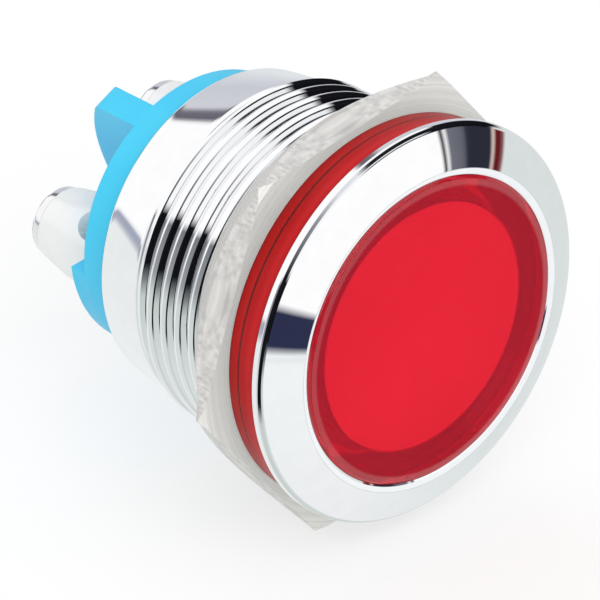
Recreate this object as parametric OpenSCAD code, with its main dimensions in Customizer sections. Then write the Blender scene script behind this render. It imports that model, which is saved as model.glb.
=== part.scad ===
// Panel pilot light with a flat lens, a threaded metal housing and two screw terminals.
// The light looks along -Y and +Z is up. The origin is on the axis, in the plane of the
// bezel's rear face, so everything behind the panel has a positive Y.

/* [Bezel] */
// Width of the bezel's rear face around the gasket
bezel_land_w = 0.35; // [0.15:0.05:1.5]
// Height of the bezel, from its rear face to its front lip
bezel_h = 1.8; // [1.6:0.05:2.4]
// Height of the straight rim at the bezel's rear
bezel_rim_h = 0.55; // [0.45:0.05:0.8]
// Crown of the polished bevel above a straight cone
bevel_crown = 0.12; // [0.02:0.01:0.2]
// Width of the flat lip between the bevel and the lens
bezel_lip_w = 0.1; // [0.05:0.05:0.2]

/* [Barrel] */
// Diameter over the thread
barrel_d = 21.9; // [20:0.1:24]
// Length of the plain neck between the bezel and the thread
neck_l = 2; // [1.8:0.1:2.4]
// Length of the thread
thread_l = 9.5; // [7:0.1:12]
// Pitch of the thread
thread_pitch = 1.2; // [1:0.05:1.5]
// Angle between the thread's two flanks, in degrees
thread_angle = 60; // [55:1:60]
// Wall between the bottom of the thread and the bore
barrel_wall = 1.4; // [1.2:0.05:1.5]

/* [Collar] */
// Length of the collar
collar_l = 4.5; // [3.5:0.1:7]
// Height of the collar's front edge above the bottom of the thread
collar_step = 0.15; // [0.05:0.05:0.4]
// Length of the slope from the thread up to the collar
collar_ramp_l = 0.5; // [0.3:0.05:0.8]
// Amount by which the collar's radius shrinks towards its rear end
collar_draft = 0.33; // [0.1:0.01:0.4]
// Crown of the collar's side above a straight cone
collar_crown = 0.05; // [0.01:0.01:0.1]
// Radius of the collar's rear edge
collar_edge_r = 0.6; // [0.3:0.05:0.8]

/* [Lens] */
// Wall of the neck around the lens's pocket
neck_wall = 1.1; // [0.8:0.05:1.4]
// Depth of the lens's pocket below the bezel's lip
pocket_h = 3.55; // [3.4:0.05:3.7]
// Thickness of the lens window
window_t = 1.4; // [1:0.05:1.6]
// Wall of the lens's skirt
skirt_t = 1.9; // [1.7:0.05:2.1]
// Height of the lens face above the bezel's lip
lens_proud = 0.05; // [0:0.01:0.2]
// Radial clearance of the lens in its pocket
lens_fit = 0.05; // [0.02:0.01:0.1]
// Diameter of the lens seal's cord
lens_seal_cord = 1; // [0.8:0.05:1.1]
// Gap of the lens seal to what lies around it
lens_seal_gap = 0.03; // [0.02:0.01:0.05]
// Thickness of the ledge inside the housing that carries the lens
ledge_t = 1; // [0.8:0.1:1.5]
// Width of the ledge from the lens pocket to its opening
ledge_w = 1.45; // [1.2:0.05:1.55]

/* [Panel gasket] */
// Width of the gasket's ring
gasket_w = 1.2; // [0.9:0.05:1.8]
// Height of the gasket behind the bezel's rear face
gasket_h = 2.5; // [1.5:0.1:3]
// Depth of the recess in the bezel that holds the gasket
gasket_seat = 0.3; // [0.1:0.05:0.35]
// Height of the bevel at the gasket's rear edge
gasket_bevel_h = 0.9; // [0.4:0.1:1.2]
// Width of the bevel at the gasket's rear edge
gasket_bevel_w = 0.5; // [0.2:0.1:0.5]
// Radial clearance of the gasket on the neck and in its recess
gasket_fit = 0.05; // [0.02:0.01:0.1]

/* [Panel nut] */
// Wall of the nut between its bore and a flat
nut_wall = 1.5; // [1.3:0.05:3]
// Thickness of the nut
nut_h = 3; // [2:0.1:5]
// Distance from the gasket to the nut as supplied
nut_gap = 0.1; // [0.05:0.05:1]
// Radial clearance of the nut over the thread
nut_fit = 0.05; // [0.03:0.01:0.09]
// Turn of the nut about the axis, in degrees
nut_turn = 10.4; // [0:0.1:60]
// Height of the chamfer on the nut's rear corners
nut_rear_chamfer_h = 2; // [0.5:0.1:2.2]
// Width of the chamfer on the nut's rear corners
nut_rear_chamfer_w = 2.4; // [0.5:0.1:2.6]
// Height of the chamfer on the nut's front corners
nut_front_chamfer_h = 0.45; // [0.2:0.05:0.6]
// Width of the chamfer on the nut's front corners
nut_front_chamfer_w = 0.9; // [0.4:0.05:1.2]

/* [Terminal base] */
// Width of the base's lip that stops it on the collar's rear face
base_lip_w = 0.2; // [0.15:0.05:0.6]
// Thickness of the base's flange
base_t = 2.7; // [2:0.1:3.5]
// Radius of the base's rear edge
base_edge_r = 0.3; // [0.1:0.05:0.6]
// Thickness of the floor in front of the flange's seat
base_floor_t = 0.5; // [0.3:0.1:1]
// Radial clearance of the base's skirt in the housing
base_fit = 0.05; // [0.02:0.01:0.1]
// Wall of the base's skirt at the seal
base_skirt_t = 1.6; // [1.3:0.1:1.8]
// Wall of the base's skirt in front of the seal
base_sleeve_t = 0.8; // [0.6:0.05:1]
// Diameter of the base seal's cord
base_seal_cord = 0.75; // [0.6:0.05:0.8]
// Gap of the base seal to the bore and to its groove's floor
base_seal_gap = 0.02; // [0.01:0.01:0.05]
// Spare width of the base seal's groove
base_seal_play = 0.15; // [0.1:0.05:0.3]
// Width of the land in front of the base seal's groove
base_seal_land = 0.6; // [0.4:0.1:1]
// Distance from the middle of the base seal's groove to the collar's rear face
base_seal_depth = 1.9; // [1.5:0.1:2.4]
// Thickness of the barrier rib between the terminals
rib_t = 1.75; // [1.4:0.05:2.2]
// Height of the rib's arch above the flange, at the middle
rib_h = 5.8; // [5:0.1:7]
// Radius of the rib's arch
rib_arch_r = 16.8; // [15:0.1:24]
// Radius of the rib's outer corners
rib_corner_r = 0.6; // [0.3:0.1:0.8]
// Height of the raised rim walls above the flange
wall_h = 1.3; // [0.5:0.05:1.8]
// Thickness of the raised rim walls
wall_t = 1.1; // [0.8:0.05:1.2]
// Distance by which the rim walls stand in from the flange's edge
wall_inset = 0.2; // [0.05:0.05:0.3]
// Arc that each rim wall spans about the axis, in degrees
wall_arc = 42; // [30:1:60]

/* [Terminals] */
// Turn of the terminals' line about the axis, in degrees
terminal_turn = 28; // [0:1:90]
// Distance from a terminal's middle to the flange's edge
terminal_inset = 4.45; // [4.3:0.05:4.8]
// Diameter of a terminal post
post_d = 5.65; // [5.4:0.05:5.8]
// Height of a terminal post above the flange
post_h = 6.6; // [6.2:0.1:9]
// Height of the taper at the post's rear end
post_taper_h = 2.2; // [1:0.1:2.4]
// Diameter of the post's rear face
post_end_d = 4.7; // [4.6:0.05:5.2]
// Diameter of the post's shank in the base
shank_d = 3; // [2.4:0.1:3.4]
// Radial clearance of the shank in the base
shank_fit = 0.05; // [0.02:0.01:0.1]
// Diameter of the shank's riveted end
rivet_d = 4; // [3.8:0.1:4.4]
// Height of the shank's riveted end
rivet_h = 0.6; // [0.4:0.1:1]
// Diameter of the hole for the wire
wire_hole_d = 1.95; // [1.6:0.05:2]
// Height of the wire hole's axis above the flange
wire_hole_h = 2.7; // [2.4:0.1:2.9]
// Turn of the wire hole from the rib's direction, in degrees
wire_turn = 8; // [0:1:12]

/* [Terminal screws] */
// Diameter of the screw's thread
screw_d = 2.5; // [2.2:0.1:2.6]
// Diameter of the screw's head
head_d = 4.45; // [4.2:0.05:4.6]
// Height of the screw's head
head_h = 1.65; // [1.4:0.05:2]
// Height of the straight edge under the head's dome
head_edge_h = 0.5; // [0.3:0.05:0.7]
// Radial clearance of the screw in the post
screw_fit = 0.05; // [0.03:0.01:0.09]
// Depth by which the screw's bore enters the wire hole
bore_entry = 0.4; // [0.3:0.05:0.6]
// Distance from the screw's tip to the wire hole as supplied
tip_gap = 0.25; // [0.15:0.05:0.5]
// Width of the cross recess
recess_w = 0.5; // [0.4:0.05:0.7]
// Length of the cross recess
recess_l = 2.5; // [2:0.1:3]
// Depth of the cross recess
recess_h = 0.9; // [0.6:0.05:1]
// Turn of the cross recess, in degrees
recess_turn = 20; // [0:1:90]

/* [Light engine] */
// Thickness of the diffuser
diffuser_t = 0.8; // [0.5:0.1:1]
// Distance between the lens window and the diffuser
diffuser_gap = 0.05; // [0.02:0.01:0.1]
// Clearance around the diffuser and the reflector
optic_fit = 0.1; // [0.05:0.01:0.15]
// Thickness of the reflector's flange
reflector_flange_t = 1.2; // [0.8:0.1:2]
// Wall of the reflector's front edge
reflector_t = 0.6; // [0.4:0.1:0.8]
// Amount by which the reflector's inside narrows towards the board
reflector_taper = 0.8; // [0.3:0.1:1.2]
// Thickness of the light board
board_t = 1.2; // [0.8:0.1:1.6]
// Clearance of the board in the bore
board_fit = 0.1; // [0.05:0.01:0.15]
// Distance from a light emitter to the reflector's inside
led_margin = 1; // [0.6:0.1:1.4]
// Size of a light emitter along the circle's radius
led_l = 2; // [1.6:0.1:2.4]
// Size of a light emitter across the circle's radius
led_w = 1.25; // [1:0.05:1.6]
// Height of a light emitter
led_h = 0.8; // [0.5:0.05:1.2]
// Diameter of the cup in a light emitter's face
led_cup_d = 0.9; // [0.6:0.05:0.95]
// Depth of the cup in a light emitter's face
led_cup_h = 0.4; // [0.2:0.05:0.45]
// Length of a resistor
resistor_l = 3.2; // [2:0.1:3.4]
// Width of a resistor
resistor_w = 1.6; // [1.2:0.1:1.7]
// Height of a resistor
resistor_h = 0.55; // [0.4:0.05:0.8]
// Length of the rectifier
rectifier_l = 4.7; // [4:0.1:4.8]
// Width of the rectifier
rectifier_w = 3.9; // [3:0.1:4]
// Height of the rectifier
rectifier_h = 2.5; // [1.6:0.1:3]
// Diameter of the capacitor
capacitor_d = 5; // [4:0.1:5]
// Height of the capacitor
capacitor_h = 5.5; // [4:0.1:7]
// Distance between neighbouring parts on the board
board_gap = 0.4; // [0.3:0.05:0.5]
// Diameter of a lead between the board and a terminal
lead_d = 1; // [0.6:0.1:1.2]

/* [Hidden] */
$fn = 72;
tiny = 0.01;
cut = 1;
led_count = 6;
arc_steps = 8;

// Stations along Y
lip_y = -bezel_h;
lens_y = lip_y - lens_proud;
thread_y = neck_l;
collar_y = neck_l + thread_l;
collar_end_y = collar_y + collar_l;
flange_y = collar_end_y + base_t;
post_end_y = flange_y + post_h;
wire_y = flange_y + wire_hole_h;
tip_y = wire_y + wire_hole_d / 2 + tip_gap;
nut_y = gasket_h + nut_gap;

// The bezel, the gasket and the nut stand around the barrel
gasket_r = barrel_d / 2 + gasket_fit + gasket_w;
recess_r = gasket_r + gasket_fit;
bezel_r = recess_r + bezel_land_w;
nut_bore_r = barrel_d / 2 + nut_fit;
nut_af = 2 * (nut_bore_r + nut_wall);

// The lens pocket, its ledge and what stands on the ledge's two sides
pocket_r = barrel_d / 2 - neck_wall;
lens_r = pocket_r - lens_fit;
ledge_y = lip_y + pocket_h;
skirt_end_y = ledge_y - lens_seal_cord - 2 * lens_seal_gap;
ledge_r = pocket_r - ledge_w;
window_back_y = lens_y + window_t;
window_r = lens_r - skirt_t;
diffuser_y = window_back_y + diffuser_gap;
reflector_y = diffuser_y + diffuser_t;
reflector_r = min(window_r, ledge_r) - optic_fit;
ledge_back_y = ledge_y + ledge_t;
board_y = ledge_back_y + reflector_flange_t;
board_back_y = board_y + board_t;
reflector_inner_r = reflector_r - reflector_t;
led_circle_r = reflector_inner_r - reflector_taper - led_margin - led_l / 2;

// The thread: an eighth of its pitch is flat on the crests, and a quarter in the roots
thread_crest = thread_pitch / 8;
thread_root = thread_pitch / 4;
flank_l = (thread_pitch - thread_crest - thread_root) / 2;
root_r = barrel_d / 2 - flank_l / tan(thread_angle / 2);
thread_turns = floor(thread_l / thread_pitch);

// The collar and the bore behind the thread
collar_front_r = root_r + collar_step;
collar_rear_r = collar_front_r - collar_draft;
bore_r = root_r - barrel_wall;

// The terminal base, its seal and its terminals
base_r = bore_r + base_lip_w;
skirt_r = bore_r - base_fit;
skirt_inner_r = skirt_r - base_skirt_t;
sleeve_inner_r = skirt_r - base_sleeve_t;
floor_y = collar_end_y - base_floor_t;
groove_w = base_seal_cord + base_seal_play;
groove_y = collar_end_y - base_seal_depth;
groove_floor_r = bore_r - base_seal_cord - 2 * base_seal_gap;
skirt_y = groove_y - groove_w / 2 - base_seal_land;
sleeve_end_y = board_back_y;
rib_crest_y = flange_y + rib_h;
rib_turn = terminal_turn + 90;
root_y = (collar_end_y + flange_y - base_edge_r) / 2;
rivet_y = floor_y - rivet_h;
terminal_x = base_r - terminal_inset;

// A profile drawn in radius and station, turned about the Y axis
module turned() {
    rotate([-90, 0, 0]) rotate_extrude($fn = 96) children();
}

// A cylinder along Y, from one station to another
module rod(r, from_y, to_y) {
    translate([0, from_y, 0]) rotate([-90, 0, 0]) cylinder(r = r, h = to_y - from_y);
}

// Anything drawn at an angle from +X towards +Z
module at_angle(degrees) {
    rotate([0, -degrees, 0]) children();
}

// A round seal cord, lying in a circle about the axis
module seal_ring(cord, centre_r, centre_y) {
    turned() translate([centre_r, centre_y]) circle(d = cord, $fn = 32);
}

// Points of a circular arc that bulges by crown to the left of the line from a to b
function arc_points(a, b, crown, steps) =
    let (chord = norm(b - a), r = chord * chord / 8 / crown + crown / 2,
         half = asin(chord / 2 / r), mid = (a + b) / 2,
         along = (b - a) / chord, left = [-along[1], along[0]])
    [for (i = [0 : steps]) let (t = half * (2 * i / steps - 1))
        mid + along * r * sin(t) + left * (r * cos(t) - r + crown)];

// One thread ridge, from the middle of a groove to the middle of the next
function ridge_points(start_y) =
    let (crest_y = start_y + thread_root / 2 + flank_l)
    [[root_r, start_y + thread_root / 2],
     [barrel_d / 2, crest_y],
     [barrel_d / 2, crest_y + thread_crest],
     [root_r, start_y + thread_pitch - thread_root / 2]];

// Housing: bezel, neck, thread and collar are turned from one bar
module housing() {
    bevel = arc_points([pocket_r + bezel_lip_w, lip_y], [bezel_r, -bezel_rim_h], -bevel_crown, arc_steps);
    thread = [for (i = [0 : thread_turns - 1]) each ridge_points(thread_y + i * thread_pitch)];
    side = arc_points([collar_front_r, collar_y + collar_ramp_l],
                      [collar_rear_r, collar_end_y - collar_edge_r], -collar_crown, arc_steps);
    color("gainsboro") difference() {
        turned() difference() {
            union() {
                polygon(concat(
                    [[0, lip_y]], bevel,
                    [[bezel_r, 0], [barrel_d / 2, 0], [barrel_d / 2, thread_y], [root_r, thread_y]],
                    thread, [[root_r, collar_y]], side,
                    [[collar_rear_r - collar_edge_r, collar_end_y], [0, collar_end_y]]));
                translate([collar_rear_r - collar_edge_r, collar_end_y - collar_edge_r])
                    circle(r = collar_edge_r, $fn = 48);
            }
            translate([0, lip_y - cut]) square([pocket_r, ledge_y - lip_y + cut]);
            square([ledge_r, collar_end_y]);
            translate([0, ledge_back_y]) square([bore_r, collar_end_y - ledge_back_y + cut]);
            translate([barrel_d / 2, -gasket_seat])
                square([recess_r - barrel_d / 2, gasket_seat + tiny]);
        }
    }
}

// Lens: a window and a skirt, moulded in one
module lens() {
    color("crimson") turned() difference() {
        translate([0, lens_y]) square([lens_r, skirt_end_y - lens_y]);
        translate([0, window_back_y]) square([window_r, skirt_end_y - window_back_y + cut]);
    }
}

module lens_seal() {
    wall_gap = lens_seal_cord / 2 + lens_seal_gap;
    color("dimgray") seal_ring(lens_seal_cord, pocket_r - wall_gap, ledge_y - wall_gap);
}

module diffuser() {
    color("mistyrose") rod(reflector_r, diffuser_y, reflector_y);
}

// Reflector: a white cone on a flange that the board presses against the ledge
module reflector() {
    color("white") turned() polygon([
        [reflector_inner_r, reflector_y], [reflector_r, reflector_y], [reflector_r, ledge_back_y],
        [bore_r - board_fit, ledge_back_y], [bore_r - board_fit, board_y],
        [reflector_inner_r - reflector_taper, board_y]]);
}

module led_board() {
    color("darkgreen") rod(bore_r - board_fit, board_y, board_back_y);
}

// A light emitter: a white package with a round cup in its face
module led(number) {
    face_y = board_y - led_h;
    color("ivory") at_angle(terminal_turn + (number - 0.5) * 360 / led_count)
        difference() {
            translate([led_circle_r - led_l / 2, face_y, -led_w / 2]) cube([led_l, led_h, led_w]);
            translate([led_circle_r, 0, 0]) rod(led_cup_d / 2, face_y - cut, face_y + led_cup_h);
        }
}

// A part on the back of the board: a block along the rib's direction and across it
module board_block(centre, along, across, high) {
    at_angle(rib_turn)
        translate([centre - along / 2, board_back_y, -across / 2])
            cube([along, high, across]);
}

module resistor(side) {
    color("black") board_block(side * (resistor_w + board_gap) / 2, resistor_w, resistor_l, resistor_h);
}

module bridge_rectifier() {
    color("dimgray") board_block(resistor_w + 1.5 * board_gap + rectifier_w / 2,
                                 rectifier_w, rectifier_l, rectifier_h);
}

module capacitor() {
    color("silver") at_angle(rib_turn)
        translate([-resistor_w - 1.5 * board_gap - capacitor_d / 2, 0, 0])
            rod(capacitor_d / 2, board_back_y, board_back_y + capacitor_h);
}

// What stands on a terminal's own axis, on side 1 or side -1
module at_terminal(side) {
    at_angle(terminal_turn) translate([side * terminal_x, 0, 0]) children();
}

module lead(side) {
    color(side > 0 ? "red" : "black") at_terminal(side) rod(lead_d / 2, board_back_y, rivet_y);
}

module base_seal() {
    color("dimgray") seal_ring(base_seal_cord, bore_r - base_seal_gap - base_seal_cord / 2, groove_y);
}

// Terminal base: a flanged cup with an arched barrier and two raised rim walls
module terminal_base() {
    color("deepskyblue") at_angle(rib_turn) difference() {
        union() {
            turned() base_cup_section();
            barrier_rib();
            rim_walls();
        }
        for (side = [-1, 1])
            translate([0, 0, side * terminal_x])
                rod(shank_d / 2 + shank_fit, floor_y - cut, flange_y + cut);
    }
}

// Half section of the flange, the skirt with its seal groove, and the thinner sleeve before it
module base_cup_section() {
    difference() {
        union() {
            translate([0, sleeve_end_y]) square([skirt_r, flange_y - sleeve_end_y]);
            translate([0, collar_end_y]) square([base_r, base_t - base_edge_r]);
            translate([0, collar_end_y]) square([base_r - base_edge_r, base_t]);
            translate([base_r - base_edge_r, flange_y - base_edge_r]) circle(r = base_edge_r, $fn = 48);
        }
        translate([0, sleeve_end_y - cut]) square([sleeve_inner_r, skirt_y - sleeve_end_y + cut]);
        square([skirt_inner_r, floor_y]);
        translate([groove_floor_r, groove_y - groove_w / 2]) square([base_seal_cord + cut, groove_w]);
    }
}

// The barrier's arch, drawn along +X with its outer corners rounded and its ends on the rim
module barrier_rib() {
    arch_y = rib_crest_y - rib_arch_r;
    corner_x = base_r - rib_corner_r;
    corner_y = arch_y + sqrt(pow(rib_arch_r - rib_corner_r, 2) - corner_x * corner_x);
    lean = (corner_y - arch_y) / corner_x;
    top_y = rib_crest_y + cut;
    intersection() {
        translate([0, 0, -rib_t / 2]) linear_extrude(rib_t) {
            intersection() {
                translate([0, arch_y]) circle(r = rib_arch_r, $fn = 180);
                union() {
                    polygon([[0, arch_y], [(top_y - arch_y) / lean, top_y],
                             [-(top_y - arch_y) / lean, top_y]]);
                    translate([-base_r, root_y]) square([2 * base_r, corner_y - root_y]);
                }
                translate([-2 * base_r, root_y]) square([4 * base_r, top_y - root_y]);
            }
            for (side = [-1, 1])
                translate([side * corner_x, corner_y]) circle(r = rib_corner_r, $fn = 48);
        }
        rod(base_r, root_y, top_y);
    }
}

// Two walls along the rim, one behind each terminal, cut off square at both ends
module rim_walls() {
    outer_r = base_r - wall_inset;
    for (turn = [90, 270])
        at_angle(turn - wall_arc / 2) rotate([-90, 0, 0]) rotate_extrude(angle = -wall_arc, $fn = 96)
            translate([outer_r - wall_t, root_y]) square([wall_t, flange_y + wall_h - root_y]);
}

// Gasket: a flat ring with a bevelled rear edge, seated in the bezel's recess
module panel_gasket() {
    inner_r = barrel_d / 2 + gasket_fit;
    color("red") turned() polygon([
        [inner_r, -gasket_seat], [gasket_r, -gasket_seat],
        [gasket_r, gasket_h - gasket_bevel_h], [gasket_r - gasket_bevel_w, gasket_h],
        [inner_r, gasket_h]]);
}

// Nut: a hexagon whose corners are turned off at both faces
module panel_nut() {
    corner_r = nut_af / 2 / cos(30);
    front_r = corner_r - nut_front_chamfer_w;
    rear_r = corner_r - nut_rear_chamfer_w;
    color("silver") at_angle(nut_turn) difference() {
        intersection() {
            translate([0, nut_y, 0]) rotate([-90, 0, 0]) cylinder(r = corner_r, h = nut_h, $fn = 6);
            turned() polygon([
                [0, nut_y], [front_r, nut_y], [corner_r, nut_y + nut_front_chamfer_h],
                [corner_r, nut_y + nut_h - nut_rear_chamfer_h], [rear_r, nut_y + nut_h],
                [0, nut_y + nut_h]]);
        }
        rod(nut_bore_r, nut_y - cut, nut_y + nut_h + cut);
    }
}

// Post: a turned terminal riveted through the base, drilled for the wire and the screw
module terminal_post(side) {
    color("whitesmoke") at_terminal(side) difference() {
        turned() polygon([
            [0, rivet_y], [rivet_d / 2, rivet_y], [rivet_d / 2, floor_y], [shank_d / 2, floor_y],
            [shank_d / 2, flange_y], [post_d / 2, flange_y], [post_d / 2, post_end_y - post_taper_h],
            [post_end_d / 2, post_end_y], [0, post_end_y]]);
        at_angle(90 + wire_turn) translate([-post_d, wire_y, 0]) rotate([0, 90, 0])
            cylinder(d = wire_hole_d, h = 2 * post_d);
        rod(screw_d / 2 + screw_fit, wire_y + wire_hole_d / 2 - bore_entry, post_end_y + cut);
    }
}

// Screw: a domed head with a cross recess, on a plain shank
module terminal_screw(side) {
    dome_h = head_h - head_edge_h;
    dome_r = (head_d * head_d / 4 + dome_h * dome_h) / 2 / dome_h;
    head_end_y = post_end_y + head_h;
    color("silver") at_terminal(side) difference() {
        union() {
            rod(screw_d / 2, tip_y, post_end_y + tiny);
            intersection() {
                rod(head_d / 2, post_end_y, head_end_y);
                translate([0, head_end_y - dome_r, 0]) sphere(r = dome_r, $fn = 96);
            }
        }
        for (turn = [0, 90])
            at_angle(recess_turn + turn)
                translate([-recess_l / 2, head_end_y - recess_h, -recess_w / 2])
                    cube([recess_l, recess_h + cut, recess_w]);
    }
}

housing();
lens();
lens_seal();
diffuser();
reflector();
led_board();
led(1);  // led_1
led(2);  // led_2
led(3);  // led_3
led(4);  // led_4
led(5);  // led_5
led(6);  // led_6
resistor(1);  // resistor_1
resistor(-1);  // resistor_2
bridge_rectifier();
capacitor();
lead(-1);  // lead_a
lead(1);  // lead_b
base_seal();
terminal_base();
panel_gasket();
panel_nut();
terminal_post(-1);  // terminal_post_a
terminal_post(1);  // terminal_post_b
terminal_screw(-1);  // terminal_screw_a
terminal_screw(1);  // terminal_screw_b
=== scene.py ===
import math
import bmesh
import bpy
import numpy as np
from mathutils import Matrix, Vector


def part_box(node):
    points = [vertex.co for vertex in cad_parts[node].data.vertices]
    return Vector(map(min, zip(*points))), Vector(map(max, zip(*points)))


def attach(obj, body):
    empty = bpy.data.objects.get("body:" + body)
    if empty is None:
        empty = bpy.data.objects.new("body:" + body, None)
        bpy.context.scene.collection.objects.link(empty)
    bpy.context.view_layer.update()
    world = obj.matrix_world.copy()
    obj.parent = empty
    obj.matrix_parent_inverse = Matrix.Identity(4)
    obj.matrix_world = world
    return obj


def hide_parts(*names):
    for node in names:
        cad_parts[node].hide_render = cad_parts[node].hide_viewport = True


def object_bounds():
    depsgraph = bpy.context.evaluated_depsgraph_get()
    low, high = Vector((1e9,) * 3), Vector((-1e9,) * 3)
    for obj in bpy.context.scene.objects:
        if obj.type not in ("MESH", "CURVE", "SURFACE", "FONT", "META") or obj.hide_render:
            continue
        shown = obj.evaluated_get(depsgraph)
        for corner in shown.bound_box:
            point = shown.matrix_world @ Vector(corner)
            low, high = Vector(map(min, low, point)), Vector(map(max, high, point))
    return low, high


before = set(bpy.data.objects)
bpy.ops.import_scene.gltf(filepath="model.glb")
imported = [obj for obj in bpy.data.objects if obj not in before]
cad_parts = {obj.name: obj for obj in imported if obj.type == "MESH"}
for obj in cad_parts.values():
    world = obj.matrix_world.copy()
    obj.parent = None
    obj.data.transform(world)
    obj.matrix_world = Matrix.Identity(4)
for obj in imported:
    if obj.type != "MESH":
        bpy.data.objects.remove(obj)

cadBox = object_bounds()
mm = 0.001
twoPi = 2 * math.pi
pole = 0.0005                            # radius of a profile's end on the axis, closed when doubles merge


def top(node, axis):
    # the node's upper bound on an axis, in millimetres
    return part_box(node)[1][axis] / mm


def bottom(node, axis):
    # the node's lower bound on an axis, in millimetres
    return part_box(node)[0][axis] / mm


def tone(red, green, blue):
    # a colour as it shows on a screen, 0 to 255, turned into the linear values that shaders take
    shown = np.array([red, green, blue]) / 255
    linear = np.where(shown < 0.04045, shown / 12.92, ((shown + 0.055) / 1.055) ** 2.4)
    return tuple(float(v) for v in linear) + (1.0,)


def cleaned(mesh):
    # doubles merged, so that poles close, and every face turned outwards
    work = bmesh.new()
    work.from_mesh(mesh)
    bmesh.ops.remove_doubles(work, verts=work.verts, dist=1.2e-6)
    bmesh.ops.recalc_face_normals(work, faces=work.faces)
    work.to_mesh(mesh)
    work.free()


def linked(name, data):
    # a new object of the scene, at the origin
    made = bpy.data.objects.new(name, data)
    bpy.context.scene.collection.objects.link(made)
    return made


def newObject(name, verts, faces):
    # a mesh piece; verts in millimetres, in the frame's own place
    mesh = bpy.data.meshes.new(name)
    mesh.from_pydata((np.asarray(verts) * mm).tolist(), [], [list(f) for f in faces])
    cleaned(mesh)
    return linked(name, mesh)


def smoothed(piece, sharp):
    # smooth shading, broken at edges steeper than sharp degrees
    mesh = piece.data
    mesh.polygons.foreach_set("use_smooth", [True] * len(mesh.polygons))
    mesh.set_sharp_from_angle(angle=math.radians(sharp))


def dressed(piece, body, node, material, sharp):
    # the piece rides on its body, stands for its node and gets its finish
    smoothed(piece, sharp)
    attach(piece, body)
    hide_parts(node)
    piece.data.materials.clear()
    piece.data.materials.append(material)
    return piece


def gridFaces(rows, columns, closedRows=False):
    # quads of a grid that closes round its columns, and round its rows if asked
    i = np.arange(rows if closedRows else rows - 1)[:, None]
    j = np.arange(columns)[None, :]
    k = (i + 1) % rows
    n = (j + 1) % columns
    quads = np.stack([i * columns + j, k * columns + j, k * columns + n, i * columns + n], -1)
    return quads.reshape(-1, 4)


def revolve(profile, segments, centre=(0.0, 0.0)):
    # a profile of (radius, station) carried round the Y axis: x = r cos t, y = station, z = r sin t
    profile = np.asarray(profile, float)
    angle = np.arange(segments) / segments * twoPi
    radius = profile[:, 0][:, None]
    x = radius * np.cos(angle) + centre[0]
    z = radius * np.sin(angle) + centre[1]
    y = np.repeat(profile[:, 1][:, None], segments, 1)
    return np.stack([x, y, z], -1).reshape(-1, 3)


def arc(centre, radius, fromAngle, toAngle, steps):
    # points of a circle round centre: centre + radius (cos t, sin t), angles in degrees
    t = np.radians(np.linspace(fromAngle, toAngle, steps))
    return np.stack([centre[0] + radius * np.cos(t), centre[1] + radius * np.sin(t)], -1)


def bulge(start, end, height, steps):
    # a shallow arc: the chord from start to end plus a parabola of that height to its left
    start, end = np.array(start, float), np.array(end, float)
    t = np.linspace(0, 1, steps)[:, None]
    along = (end - start) / np.linalg.norm(end - start)
    left = np.array([-along[1], along[0]])
    return start + (end - start) * t + left * height * 4 * t * (1 - t)


def filleted(points, radii, steps):
    # a polyline with rounded corners: each becomes a quadratic curve between two points on its sides
    points = np.asarray(points, float)
    out = [points[:1]]
    for k in range(1, len(points) - 1):
        before, corner, after = points[k - 1], points[k], points[k + 1]
        a, b = before - corner, after - corner
        la, lb = np.linalg.norm(a), np.linalg.norm(b)
        cut = min(radii[k], 0.49 * la, 0.49 * lb)
        if cut <= 0:
            out.append(corner[None])
            continue
        p, q = corner + a / la * cut, corner + b / lb * cut
        t = np.linspace(0, 1, steps)[:, None]
        out.append((1 - t) ** 2 * p + 2 * t * (1 - t) * corner + t ** 2 * q)
    out.append(points[-1:])
    return np.concatenate(out)


def offsets(origin, rows):
    # points given by their distances from an origin
    return np.asarray(origin, float) + np.asarray(rows, float)


def capped(rows, segments):
    # side quads of a stack of rings, with one face at each end
    faces = [list(f) for f in gridFaces(rows, segments)]
    faces.append(list(range(segments)))
    faces.append(list(range(rows * segments - 1, (rows - 1) * segments - 1, -1)))
    return faces


def cutAway(piece, cutters):
    # each cutter is taken out of the piece for good and then removed
    for cutter in cutters:
        step = piece.modifiers.new("cut", "BOOLEAN")
        step.operation = "DIFFERENCE"
        step.solver = "EXACT"
        step.object = cutter
        bpy.context.view_layer.objects.active = piece
        bpy.ops.object.modifier_apply(modifier=step.name)
        bpy.data.objects.remove(cutter)


def shaderNode(tree, kind, inputs=None, **settings):
    # a node with its settings made, and each input either linked from a socket or set to a value
    made = tree.nodes.new("ShaderNode" + kind)
    for key, value in settings.items():
        setattr(made, key, value)
    for key, value in (inputs or {}).items():
        if isinstance(value, bpy.types.NodeSocket):
            tree.links.new(value, made.inputs[key])
        else:
            made.inputs[key].default_value = value
    return made


def ramp(tree, source, stops):
    # a colour ramp through the stops, each (place, colour)
    made = shaderNode(tree, "ValToRGB", {"Fac": source})
    elements = made.color_ramp.elements
    elements.remove(elements[1])
    for k, (at, colour) in enumerate(stops):
        element = elements[0] if k == 0 else elements.new(at)
        element.position = at
        element.color = colour
    return made.outputs["Color"]


def newMaterial(name, **sockets):
    # a Principled material; its plain numbers are set on the shader's own sockets
    material = bpy.data.materials.new(name)
    material.use_nodes = True
    tree = material.node_tree
    shader = tree.nodes["Principled BSDF"]
    for socket, value in sockets.items():
        shader.inputs[socket.replace("_", " ")].default_value = value
    return material, tree, shader


def speckle(tree, scale, detail=3.0):
    # cloudy noise on the piece's own coordinates
    place = shaderNode(tree, "TexCoord").outputs["Object"]
    return shaderNode(tree, "TexNoise", {"Vector": place, "Scale": scale, "Detail": detail}).outputs["Fac"]


def drift(tree, tint, dark, light):
    # a colour that drifts between two tones with tint
    return ramp(tree, tint, [(0.32, dark), (0.68, light)])


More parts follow.
